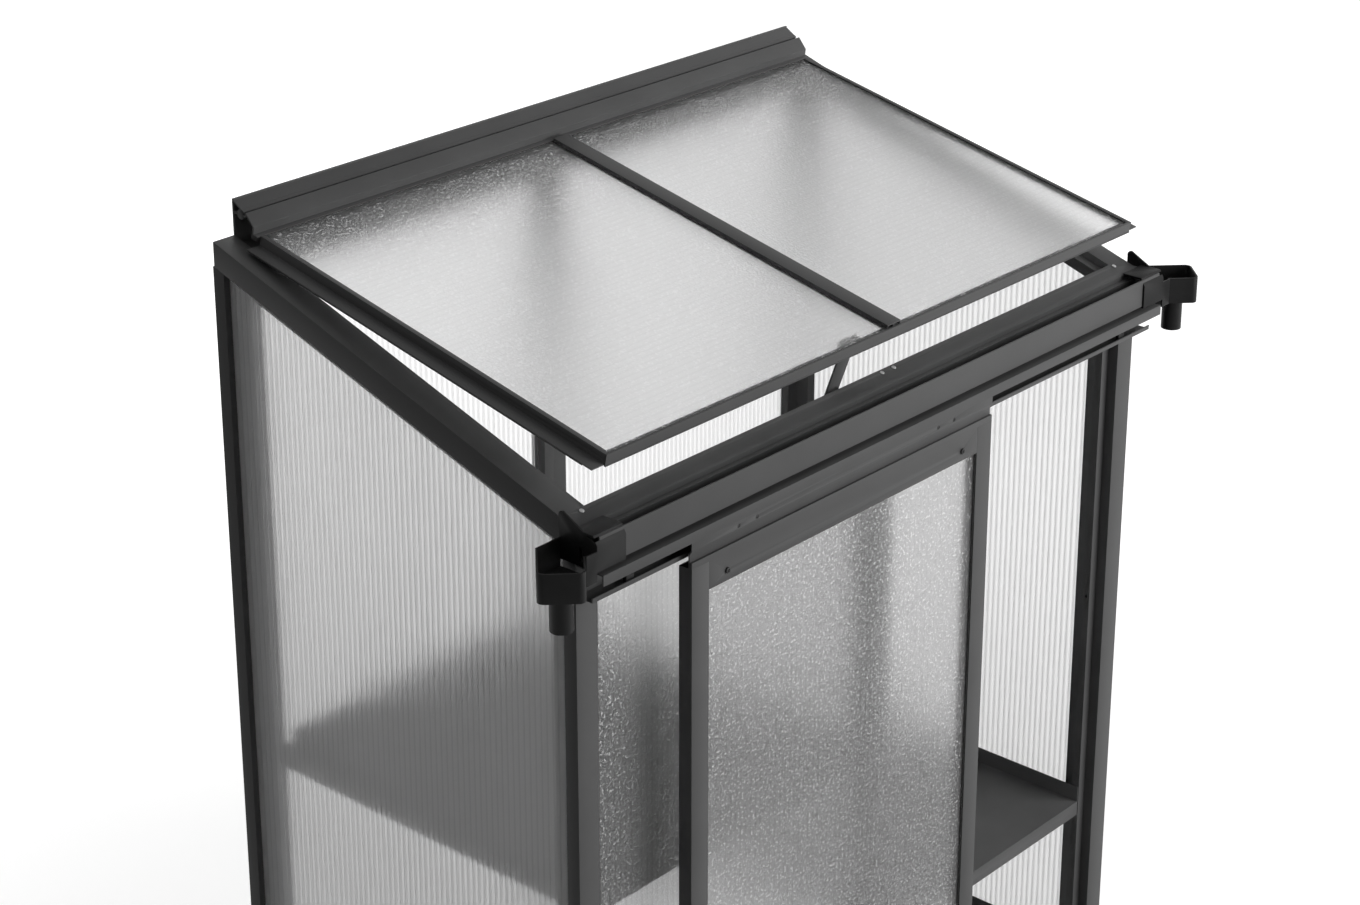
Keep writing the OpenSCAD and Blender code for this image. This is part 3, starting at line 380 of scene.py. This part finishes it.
# The second tone is the painted glint on the specks.
roof_pane = frosted(
    "roof_pane", sheet_and_painted_glint_tones=(0.88, 0.96), rough=(0.46, 0.38), direction=across_depth, start=0.0,
    swell=0.05, clear=0.96, rib_tone=0.95)
for node in ("lid_left_pane", "lid_right_pane"):
    faced(node, roof_pane)

# Stay of the roof vent
# A flat coated bar that hangs from two ears under the vent's front rail and slides through a
# loop on the back of the eave, where a plastic knob clamps it.
grip_edge = 0.0015
for node in ("stay_bar", "stay_lug", "stay_keeper"):
    dressed(node, powder_coat, fold_edge)
dressed("stay_knob", black_plastic, grip_edge)

# Sliding door
# Four hollow coated rails around a frosted pane in a dark gasket, and a stepped plate along
# the top that carries the wheels. Two plastic shoes run in the floor rail.
door_edge = 0.00025
shoe_edge = 0.0015
for node in ("door_top_rail", "door_bottom_rail", "door_left_stile", "door_right_stile",
             "door_hanger_plate"):
    dressed(node, powder_coat, door_edge)
dressed("door_guide_shoes", black_plastic, shoe_edge)
faced("door_gasket", rubber)
# The second tone is the painted glint on the specks.
door_glass = frosted(
    "door_glass", sheet_and_painted_glint_tones=(0.74, 1.0), rough=(0.45, 0.36), direction=across_width, start=0.0,
    swell=0.0, clear=0.935, rib_tone=0.95)
faced("door_pane", door_glass)

# Door wheels, their axles and the stay's pin
# Four grooved plastic wheels on bolts through the hanger plate, each with a spacer, and the
# plain steel pin that the stay hangs on. The bolts are given a near-black colour.
wheel_edge = 0.0004
pin_edge = 0.0003


def bolt_metal(name, dark, light, rough, specular=0.5, metallic=1.0):
    return opaque_finish(name, dark, light, rough, patches=300, grains=2400, depth=0.1,
                         specular=specular, metallic=metallic)


steel = bolt_metal("steel", dark=(0.1, 0.1, 0.105), light=(0.19, 0.19, 0.195), rough=(0.28, 0.42))
for node in ("door_wheel_1", "door_wheel_2", "door_wheel_3", "door_wheel_4"):
    dressed(node, black_plastic, wheel_edge)
dressed("stay_pin", steel, pin_edge)
black_steel = bolt_metal(
    "black_steel", dark=(0.012, 0.012, 0.0125), light=(0.02, 0.02, 0.0205), rough=(0.3, 0.4),
    specular=0.2, metallic=0.0)
# The axles get the same near-black colour as the door's screws. Their heads sit back in the plate's
# holes.
dressed("door_axles", black_steel, pin_edge)

# Screws
# Pan head screws. Those of the eave, the track and the shelf rails are bright zinc, and the
# door's two are blackened and have a cross recess.
screw_edge = 0.0007
recess_length = 0.62
recess_width = 0.14
recess_depth = 0.0012
recess_leans = (math.radians(45), math.radians(-45))
zinc = bolt_metal("zinc", dark=(0.3, 0.3, 0.3), light=(0.44, 0.44, 0.44), rough=(0.3, 0.42))
for node in ("eave_screws", "track_screws", "shelf_screws"):
    dressed(node, zinc, screw_edge)
door_screws = dressed("door_screws", black_steel, screw_edge)


def cross_recess(screws, head, middle):
    for lean in recess_leans:
        bpy.ops.object.select_all(action="DESELECT")
        bpy.ops.mesh.primitive_cube_add(size=1, location=middle, rotation=(0, lean, 0))
        slot = bpy.context.object
        slot.scale = (head * recess_length, 2 * recess_depth, head * recess_width)
        cut = screws.modifiers.new("cut", "BOOLEAN")
        cut.object = slot
        cut.solver = "EXACT"
        bpy.ops.object.select_all(action="DESELECT")
        bpy.context.view_layer.objects.active = screws
        screws.select_set(True)
        bpy.ops.object.modifier_apply(modifier=cut.name)
        bpy.data.objects.remove(slot)


low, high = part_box("door_screws")
head = high.z - low.z
for x in (low.x + head / 2, high.x - head / 2):
    cross_recess(door_screws, head, (x, low.y, (low.z + high.z) / 2))

# Floor
# A plain pale floor that runs out of sight, a little darker round the object so that it keeps
# its shadow. It shines white only towards the camera, in reflections and through the glass.
floor_size = 60
shadow_from = 0.9
shadow_to = 2.6
shadow_tone = (0.76, 0.76, 0.76)
white = (1.0, 1.0, 1.0)


def seen_rays(tree):
    path = tree.nodes.new("ShaderNodeLightPath")
    seen = path.outputs["Is Camera Ray"]
    for kind in ("Is Glossy Ray", "Is Transmission Ray"):
        either = tree.nodes.new("ShaderNodeMath")
        either.operation = "MAXIMUM"
        tree.links.new(seen, either.inputs[0])
        tree.links.new(path.outputs[kind], either.inputs[1])
        seen = either.outputs["Value"]
    return seen


def floor_paint():
    material = bpy.data.materials.new("pale_floor")
    material.use_nodes = True
    tree = material.node_tree
    shader = tree.nodes["Principled BSDF"]
    shader.inputs["Base Color"].default_value = (0.4, 0.4, 0.4, 1)
    shader.inputs["Roughness"].default_value = 0.9
    shader.inputs["Specular IOR Level"].default_value = 0.0
    place = tree.nodes.new("ShaderNodeTexCoord")
    away = tree.nodes.new("ShaderNodeVectorMath")
    away.operation = "LENGTH"
    tree.links.new(place.outputs["Object"], away.inputs[0])
    spread = tree.nodes.new("ShaderNodeMapRange")
    spread.interpolation_type = "SMOOTHSTEP"
    spread.inputs["From Min"].default_value = shadow_from
    spread.inputs["From Max"].default_value = shadow_to
    tree.links.new(away.outputs["Value"], spread.inputs["Value"])
    glow = tone(tree, spread.outputs["Result"], shadow_tone, white)
    tree.links.new(glow, shader.inputs["Emission Color"])
    tree.links.new(seen_rays(tree), shader.inputs["Emission Strength"])
    return material


bpy.ops.object.select_all(action="DESELECT")
bpy.ops.mesh.primitive_plane_add(size=floor_size, location=(0, 0, 0))
floor = bpy.context.object
floor.name = "floor"
floor.data.materials.append(floor_paint())

# Light
# A white sky that is dimmer as a light than it looks, and three wide soft lamps, which aren't
# seen through the panels.
sky_light = 0.14
sky_seen = 1.0
world = bpy.data.worlds.new("studio")
world.use_nodes = True
sky = world.node_tree.nodes["Background"]
sky.inputs["Color"].default_value = (*white, 1)
sky_strength = between(world.node_tree, seen_rays(world.node_tree), sky_light, sky_seen)
world.node_tree.links.new(sky_strength, sky.inputs["Strength"])
bpy.context.scene.world = world

for name, energy, size, place, turn in (
        ("front_lamp", 275, 3.5, (2.4, -4.5, 2.0), (76, 0, 28.1)),
        ("back_lamp", 120, 3.5, (2.0, 4.8, 2.2), (74, 0, 157.4)),
        ("top_lamp", 30, 4.0, (0.3, 0.2, 5.0), (0, 0, 0))):
    data = bpy.data.lights.new(name, "AREA")
    data.energy = energy
    data.size = size
    lamp = bpy.data.objects.new(name, data)
    lamp.location = place
    lamp.rotation_euler = [math.radians(angle) for angle in turn]
    lamp.visible_transmission = False
    bpy.context.collection.objects.link(lamp)
bpy.context.scene.view_settings.view_transform = "Standard"
